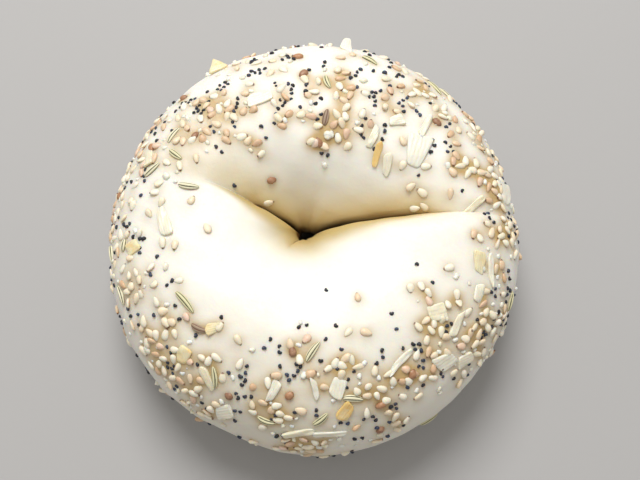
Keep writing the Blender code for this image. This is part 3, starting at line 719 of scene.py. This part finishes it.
bearing, section, heading, length, width = np.array(FLAKES, float).T
random = np.random.default_rng(51)
along, angle = spun_grid(FLAKE_RINGS, FLAKE_SIDES)
chips, across = flake_shape(along, -angle, length * MM, width * MM, random)
flake_places = np.stack([bearing, section, heading], -1) * DEG
lifts, rises = np.full(len(FLAKES), FLAKE_LIFT * FLAKE_THICK), np.zeros(len(FLAKES))
lifts[:ON_EDGE], rises[:ON_EDGE] = EDGE_LIFT, EDGE_RISE
flake_points = lay(chips, flake_places, lifts, rises, tilt=FLAKE_TILT, seed=52)
hue = random.random(len(FLAKES)) * IVORY
hue[STRAW_FLAKES] = STRAW
hue[TOASTED_FLAKES] = TOASTED

onion, link = new_material("onion")
body = link.node("ShaderNodeValToRGB", {"stops": (
    (0.0, (0.86, 0.82, 0.71)), (0.5, (0.84, 0.77, 0.59)), (0.8, (0.82, 0.72, 0.46)),
    (1.0, (0.82, 0.55, 0.20)),
)}, {"Fac": link.value("hue") + (link.noise(330) - 0.5) * 0.7})
lumps = link.noise(520)
veins = link.maths("SINE", link.value("across") * VEINS + lumps * VEIN_WANDER)
veins = (veins + 1) / 2
body = link.mixed(veins * link.noise(700) * 0.3, body, (0.76, 0.64, 0.40))
finish_of(body, lumps * 0.2 + 0.26, link.relief(lumps + veins * 0.15, 0.22 * MM), {
    "Subsurface Weight": 0.5, "Subsurface Radius": (1.0, 0.7, 0.4),
    "Subsurface Scale": 1.2 * MM})
joined("onion_flakes", flake_points, spun_faces(FLAKE_RINGS, FLAKE_SIDES),
       {"hue": hue[:, None], "across": across}, onion)
press(flake_points, reach=2.4 * MM, height=0.14 * MM, tint=0.6)

# Brown seeds: rounder and plumper than the sesame, red-brown with a darker end. A few lie singly
# among the others, pressed in by over a third of their thickness.

BROWN_SEEDS = (
    (128, 121), (143, 72), (78, 108), (92, 50), (90, 68), (154, 46), (133, 37), (266, 57),
    (266, 80), (248, 44), (292, 46), (290, 27), (36, 60), (170, 24), (304, 54),
)
BROWN_SIZE, BROWN_TAPER = np.array((2.5, 1.9, 1.5)) * MM, 0.3
BROWN_SPREAD, BROWN_RANGE = 0.07, (0.85, 1.15)
END_START, END_SHARPNESS, BLUSH_START = 0.75, 3, 0.35
BROWN_RINGS, BROWN_SIDES = 10, 14

bearing, section = np.array(BROWN_SEEDS, float).T
random = np.random.default_rng(61)
along, angle = spun_grid(BROWN_RINGS, BROWN_SIDES)
sizes = BROWN_SIZE * random.normal(1, BROWN_SPREAD, (len(BROWN_SEEDS), 3)).clip(*BROWN_RANGE)
brown_places = np.stack([bearing * DEG, section * DEG, np.arange(len(BROWN_SEEDS))], -1)
brown_points = lay(drop_shape(along, angle, BROWN_TAPER) * sizes[:, None], brown_places,
                   BROWN_SIZE[2] * (STANDING - 0.5))

brown, link = new_material("brown_seed")
skin = link.mixed(link.value("shade"), (0.46, 0.22, 0.10), (0.24, 0.11, 0.06))
skin = link.mixed((link.noise(1300) - BLUSH_START).held(), skin, (0.70, 0.45, 0.28))
end = ((link.value("along") - END_START) * END_SHARPNESS).held()
skin = link.mixed(end, skin, (0.12, 0.05, 0.03))
finish_of(skin, 0.45, link.relief(link.noise(2400), 0.08 * MM), {})
joined("brown_seeds", brown_points, spun_faces(BROWN_RINGS, BROWN_SIDES),
       {"shade": random.random(len(BROWN_SEEDS))[:, None], "along": along[None]},
       brown)
press(brown_points, reach=1.8 * MM, height=0.12 * MM, tint=0.8)

# Garlic granules: small chunky grains of dried garlic, white and glassy where they have drawn
# water from the dough, lying among the sesame seeds.

GRANULE_SEED, GRANULE_COUNT, GRANULE_GAP = 8, 200, 1.4 * MM
GRANULE_SIZE = np.array((1.3, 1.0, 0.85)) * MM
GRANULE_SPREAD, GRANULE_RANGE, GRANULE_UNEVEN, BLOCKINESS = 0.22, (0.6, 1.6), 0.09, 0.7
SESAME_CLEAR, SEED_CLEAR = 1.5 * MM, 1.1 * MM
GRANULE_LIFT, GRANULE_TILT = 0.05 * MM, 0.5
GRANULE_RINGS, GRANULE_SIDES = 5, 8


def chunk_shape(along, angle, random, count):
    """Rounded blocks of unit size: a superellipsoid whose points are each pushed in or out."""
    tilt = np.pi * along
    girth = signed_power(np.sin(tilt), BLOCKINESS)
    push = random.normal(1, GRANULE_UNEVEN, (count, len(along), 1))
    x = -signed_power(np.cos(tilt), BLOCKINESS)
    y = girth * signed_power(np.cos(angle), BLOCKINESS)
    return np.stack([x, y, girth * signed_power(np.sin(angle), BLOCKINESS)], -1) / 2 * push


granule_places = scatter(
    GRANULE_SEED, GRANULE_COUNT, GRANULE_GAP, pressed,
    others=[(sesame_points.mean(1), SESAME_CLEAR), (poppy_points.mean(1), SEED_CLEAR)],
)
random = np.random.default_rng(71)
along, angle = spun_grid(GRANULE_RINGS, GRANULE_SIDES)
sizes = random.lognormal(0, GRANULE_SPREAD, (GRANULE_COUNT, 1)).clip(*GRANULE_RANGE)
sizes = GRANULE_SIZE * sizes
granule_points = lay(chunk_shape(along, angle, random, GRANULE_COUNT) * sizes[:, None],
                     granule_places, GRANULE_LIFT, tilt=GRANULE_TILT, seed=72)

garlic, link = new_material("garlic")
grain = link.mixed(link.value("shade"), (0.90, 0.87, 0.78), (0.86, 0.77, 0.58))
finish_of(grain, 0.3, link.relief(link.noise(1800), 0.06 * MM), {
    "Subsurface Weight": 0.6, "Subsurface Radius": (1.0, 0.75, 0.5),
    "Subsurface Scale": 1.2 * MM})
joined("garlic_granules", granule_points, spun_faces(GRANULE_RINGS, GRANULE_SIDES),
       {"shade": random.random(GRANULE_COUNT)[:, None]}, garlic)
press(granule_points, reach=1.2 * MM, height=0.1 * MM, tint=0.15)

# The dough itself comes last, because every topping leaves its mark in it. Its skin is smooth,
# pale and a little damp and wells up round the seeds; painted shade turns it khaki and then
# brown in the beds of the creases and in the hole, and black in the slits.

COLUMNS, ROWS = 560, 176
COLUMN_CROWDING, COLUMN_SPAN, ROW_CROWDING, ROW_SECTION = 6, 3 * DEG, 0.9, 70 * DEG
ROW_START, ROW_BLEND, FINE_STEPS = 0.3, 0.8, 7201
RIPPLES, RIPPLE_HEIGHT, RIPPLE_LENGTHS = 16, 0.03 * MM, (6, 18)
RIPPLE_FLOOR, RIPPLE_RISE, TINT_FLOOR = 2 * MM, 6 * MM, 4 * MM
CREASE_TINT, HOLE_TINT, SEAM_TINTED, FOLD_BROWN = 2.2 * MM, 2.4 * MM, 42 * MM, 19 * MM
CREASE_FADE, PUCKER_TINT, BED_DARK, BED_SHARPNESS = 2.2, 0.8, 0.72, 5
EDGE_TINT, FOLD_TINTED, MOUTH_TINT, MOUTH_BLUR = 8.5 * MM, 28 * MM, 6 * MM, 2 * MM
LIT_SHOULDER_BEARING, LIT_SHOULDER_SPAN, LIT_SHOULDER_SHARE = 176 * DEG, 34 * DEG, 0.5
PIT_BACK, PIT_FRONT, SEAM_BLACK, FOLD_BLACK = 1.5 * MM, 0.4 * MM, 20 * MM, 8 * MM
DIP_TINT, SEAM_DIPPED, FOLD_DIPPED = 5.5 * MM, 44 * MM, 26 * MM
SHADE_TINT, SHADED, SIDE_BLUR = 12 * MM, 44 * MM, 9 * MM
SHADE_SHARE, SHADE_START, SHADE_RISE = 0.95, 9 * MM, 16 * MM
FRONT_TINT, FRONT_BEARING, FRONT_SPAN, FRONT_START = 0.4, 266 * DEG, 52 * DEG, 22 * MM
EDGE_LEAST, PIT_LEAST, BLUR_LEAST = 0.3 * MM, 0.2 * MM, 0.2 * MM
DIP_SHARE, CONTACT_SHADE_POWER, BED_POWER = 0.75, 1.3, 1.1


def spaced(count, density):
    """Angles round a full turn, as close together as the density asks."""
    fine = np.linspace(0, 2 * np.pi, FINE_STEPS)
    weight = density(fine)
    total = np.concatenate([[0], np.cumsum((weight[1:] + weight[:-1]) / 2)])
    return np.interp(np.arange(count) / count * total[-1], total, fine)


def near_creases(bearing):
    """Denser by a bell over each crease."""
    return 1 + sum(
        COLUMN_CROWDING / (1 + (turn(bearing, line) / COLUMN_SPAN) ** 2) for line in (SEAM, FOLD)
    )


def near_crown(section):
    """Denser over the part of the roll that is seen from above."""
    facing = np.cos(turn(section, ROW_SECTION))
    return 1 + ROW_CROWDING * eased((facing + ROW_START) / ROW_BLEND)


def crease_tint(bearing, radius, line, reach):
    """1 in a crease's bed, falling off exponentially to both sides and easing out at its end."""
    off = np.minimum(np.abs(turn(bearing, line)), np.pi / 2)
    across, along = radius * np.sin(off), radius * np.cos(off)
    return np.exp(-across / CREASE_TINT) * eased(CREASE_FADE * (1 - along / reach))


def edge_tint(bearing, radius, bed, back, reach):
    """1 at a crease on its front side, falling off as the exponential of minus a cube over the
    edge of the lobe in front, in a band that narrows to nothing at the reach."""
    off = np.clip(-back * turn(bearing, bed), 0, np.pi / 2)
    across, along = radius * np.sin(off), np.clip(radius * np.cos(off) / reach, 0, 1)
    width = EDGE_TINT * (1 - along) ** 2 + EDGE_LEAST
    band = np.exp(-((across / width) ** 3)) * eased(2 * (1 - along))
    return np.where(back * turn(bearing, bed) < 0, band, 0)


def pit_tint(bearing, radius, bed, back, reach):
    """1 in a crease's bed, falling off as a bell over its two walls, each with a width of its
    own that narrows to nothing at the reach."""
    off = turn(bearing, bed)
    within = np.minimum(np.abs(off), np.pi / 2)
    along = np.clip(radius * np.cos(within) / reach, 0, 1)
    width = np.where(off * back > 0, PIT_BACK, PIT_FRONT) * (1 - along) + PIT_LEAST
    return np.exp(-((radius * np.sin(within) / width) ** 2)) * eased(3 * (1 - along))


def slope_tint(bearing, radius, bed, back, width, reach):
    """A bell of a width behind a crease, over the slope that comes down to it. Its foot is
    sharp at the hole and more and more blurred along the crease."""
    off = turn(bearing, bed)
    within = np.minimum(np.abs(off), np.pi / 2)
    across, along = radius * np.sin(within), np.clip(radius * np.cos(within) / reach, 0, 1)
    bell = np.exp(-((across / width) ** 2)) * eased(2 * (1 - along))
    blur = SIDE_BLUR * along**2 + BLUR_LEAST
    return bell * eased(0.5 + np.sign(off) * back * across / blur)


bearing = spaced(COLUMNS, near_creases)[:, None]
section = spaced(ROWS, near_crown)[None]
skin = dough_point(bearing, section)
normal = skin_normal(bearing, section)

# Slow, shallow ripples all over, as hands leave in soft dough: a sum of sine waves in space.
random = np.random.default_rng(81)
ripple = np.zeros(skin.shape[:2])
for _ in range(RIPPLES):
    direction = random.normal(size=3)
    direction *= 2 * np.pi / (random.uniform(*RIPPLE_LENGTHS) * MM) / np.linalg.norm(direction)
    ripple += np.sin(skin @ direction + random.uniform(0, 2 * np.pi))
ripple *= RIPPLE_HEIGHT * eased((skin[..., 2] - RIPPLE_FLOOR) / RIPPLE_RISE)

# The marks of the toppings: bells about each one's place. The highest bell raises the dough,
# and all of them together darken it with painted contact shade, less on the left shoulder.
flat = skin.reshape(-1, 3)
mound, contact_shade = np.zeros(len(flat)), np.zeros(len(flat))
for places, reach, height, tint in marks:
    for place in places:
        apart = ((flat - place) ** 2).sum(1) / reach**2
        bell = np.exp(-apart)
        mound = np.maximum(mound, height * bell)
        contact_shade += tint * bell
mound = mound.reshape(ripple.shape)
contact_shade = np.clip(contact_shade.reshape(ripple.shape), 0, 1)
# Painted light: the contact shade is weaker on the left shoulder, where more light falls.
contact_shade *= 1 - LIT_SHOULDER_SHARE * dent(bearing, LIT_SHOULDER_BEARING, LIT_SHOULDER_SPAN)
skin = skin + normal * (ripple + mound)[..., None]
skin[..., 2] = np.maximum(skin[..., 2], 0)

radius = np.hypot(skin[..., 0] - HOLE_X, skin[..., 1] - HOLE_Y)
seam_bed = crease_bearing(radius, SEAM, SEAM_BEND, SEAM_REACH)
fold_bed = crease_bearing(radius, FOLD, FOLD_BEND, FOLD_REACH)
on_top, off_floor = skin[..., 2] > BELLY, skin[..., 2] > TINT_FLOOR

# The painted shade of the creases: brown beds and hole, khaki edges of the lobes in front and
# round the mouth of the hole, black painted shadow in the slits, and khaki feet of the slopes
# behind. Painted shade also darkens the slope behind the fold and the front of the rim.
fold = np.maximum(
    crease_tint(bearing, radius, seam_bed, SEAM_TINTED),
    crease_tint(bearing, radius, fold_bed, FOLD_BROWN),
)
fold = np.maximum(fold, PUCKER_TINT * crease_tint(bearing, radius, PUCKER, PUCKER_REACH))
fold = np.maximum(fold, np.exp(-(radius - THROAT) / HOLE_TINT)) * off_floor
edge = np.maximum(
    edge_tint(bearing, radius, seam_bed, 1, SEAM_TINTED),
    edge_tint(bearing, radius, fold_bed, -1, FOLD_TINTED),
) * on_top
in_front = eased(0.5 - np.sin(turn(bearing, SEAM)) * radius / MOUTH_BLUR)
mouth = np.exp(-((radius / MOUTH_TINT) ** 2)) * in_front
edge = np.maximum(edge, mouth * on_top)
slit_shadow = np.maximum(
    pit_tint(bearing, radius, seam_bed, 1, SEAM_BLACK),
    pit_tint(bearing, radius, fold_bed, -1, FOLD_BLACK),
) * off_floor
foot_shade = np.maximum(
    slope_tint(bearing, radius, seam_bed, 1, DIP_TINT, SEAM_DIPPED),
    slope_tint(bearing, radius, fold_bed, -1, DIP_TINT, FOLD_DIPPED),
) * on_top
# Painted shade on the slope behind the fold, which faces away from the lamp.
shaded = slope_tint(bearing, radius, fold_bed, -1, SHADE_TINT, SHADED) * on_top
shaded = shaded * SHADE_SHARE * eased((radius - SHADE_START) / SHADE_RISE)
# Painted shade down the front of the rim.
front = dent(bearing, FRONT_BEARING, FRONT_SPAN) * eased((radius - FRONT_START) / FRONT_START)
shaded = np.maximum(shaded, FRONT_TINT * front)

dough, link = new_material("dough")
mottle = link.noise(95, 4.0) + (link.noise(700, 3.0) - 0.5) * 0.5
paste = link.mixed(mottle, (0.89, 0.87, 0.80), (0.87, 0.83, 0.73))
# Painted shade on the slope behind the fold and down the front of the rim.
paste = link.mixed(link.value("shaded"), paste, (0.66, 0.58, 0.42))
# Painted shade: khaki at the feet of the slopes behind the creases.
paste = link.mixed(link.value("foot_shade") * DIP_SHARE, paste, (0.79, 0.63, 0.26))
# Painted contact shade round the toppings.
paste = link.mixed(link.value("contact_shade") ** CONTACT_SHADE_POWER, paste, (0.55, 0.38, 0.17))
# Painted shade: khaki on the lobe edges in front of the creases and round the mouth of the hole.
paste = link.mixed(link.value("edge"), paste, (0.47, 0.36, 0.13))
# Painted shade: khaki, then brown, in the beds of the creases and in the hole.
bed = link.value("fold")
paste = link.mixed(bed**BED_POWER, paste, (0.66, 0.48, 0.20))
paste = link.mixed(((bed - BED_DARK) * BED_SHARPNESS).held(), paste, (0.20, 0.11, 0.04))
# Painted shadow: near black in the slits.
paste = link.mixed(link.value("slit_shadow"), paste, (0.03, 0.015, 0.006))
grain = link.noise(420, 5.0, 0.6)
finish_of(paste, grain * 0.16 + 0.38, link.relief(grain, 0.12 * MM), {
    "Subsurface Weight": 0.5, "Subsurface Radius": (1.0, 0.6, 0.3),
    "Subsurface Scale": 2.2 * MM})

column, row = np.arange(COLUMNS)[:, None], np.arange(ROWS)[None]
column_after, row_after = (column + 1) % COLUMNS, (row + 1) % ROWS
quads = np.stack([
    column * ROWS + row, column_after * ROWS + row,
    column_after * ROWS + row_after, column * ROWS + row_after,
], -1).reshape(-1, 4)
tints = {"contact_shade": contact_shade, "fold": fold, "foot_shade": foot_shade, "edge": edge, "slit_shadow": slit_shadow, "shaded": shaded}
ring = joined(
    "dough", skin.reshape(1, -1, 3), (quads, np.empty((0, 3), int)),
    {label: tint.reshape(1, -1) for label, tint in tints.items()}, dough,
)
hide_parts("bagel")

# The setting: a plain pale floor, a large soft light behind the bagel, and the camera nearly
# overhead, as the photograph was taken.

OUTLINE_MM, OUTLINE_PIXELS = 105, 412
PIXEL = OUTLINE_MM / OUTLINE_PIXELS * MM
ELEVATION = 76 * DEG
LENS, SENSOR, FRAME_WIDTH, SHIFT = 60, 36, 640, 6
TARGET = Vector((0, 0, 16 * MM))
FLOOR_SIZE, LAMP_SIZE, LAMP_WATTS, SKY_STRENGTH = 3, 0.5, 8.2, 0.5
LAMP_PLACE, LAMP_TARGET = Vector((-0.08, 0.50, 0.82)), Vector((0, 0, 15 * MM))

bpy.ops.mesh.primitive_plane_add(size=FLOOR_SIZE)
floor = bpy.context.object
floor.name = "floor"
plain = bpy.data.materials.new("floor")
plain.use_nodes = True
matt = plain.node_tree.nodes["Principled BSDF"]
matt.inputs["Base Color"].default_value = (0.42, 0.41, 0.40, 1)
matt.inputs["Roughness"].default_value = 0.8
floor.data.materials.append(plain)
floor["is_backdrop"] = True

world = bpy.data.worlds.new("studio")
world.use_nodes = True
sky = world.node_tree.nodes["Background"]
sky.inputs["Color"].default_value = (1, 0.985, 0.96, 1)
sky.inputs["Strength"].default_value = SKY_STRENGTH
bpy.context.scene.world = world

lamp = bpy.data.lights.new("window", "AREA")
lamp.shape = "DISK"
lamp.size = LAMP_SIZE
lamp.energy = LAMP_WATTS
window = bpy.data.objects.new("window", lamp)
window.location = LAMP_PLACE
window.rotation_euler = (LAMP_TARGET - LAMP_PLACE).to_track_quat("-Z", "Y").to_euler()
bpy.context.scene.collection.objects.link(window)

lens = bpy.data.cameras.new("camera")
lens.lens = LENS
lens.sensor_width = SENSOR
lens.clip_start = 0.01
lens.shift_x = SHIFT / FRAME_WIDTH
lens.shift_y = SHIFT / FRAME_WIDTH
camera = bpy.data.objects.new("camera", lens)
back = Vector((0, -np.cos(ELEVATION), np.sin(ELEVATION)))
camera.location = TARGET + back * (FRAME_WIDTH * PIXEL * LENS / SENSOR)
camera.rotation_euler = (-back).to_track_quat("-Z", "Y").to_euler()
bpy.context.scene.collection.objects.link(camera)
bpy.context.scene.camera = camera
bpy.context.scene.view_settings.view_transform = "Standard"

sizes = {"cad": [list(corner) for corner in cad_box], "visual": [list(c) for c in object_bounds()]}
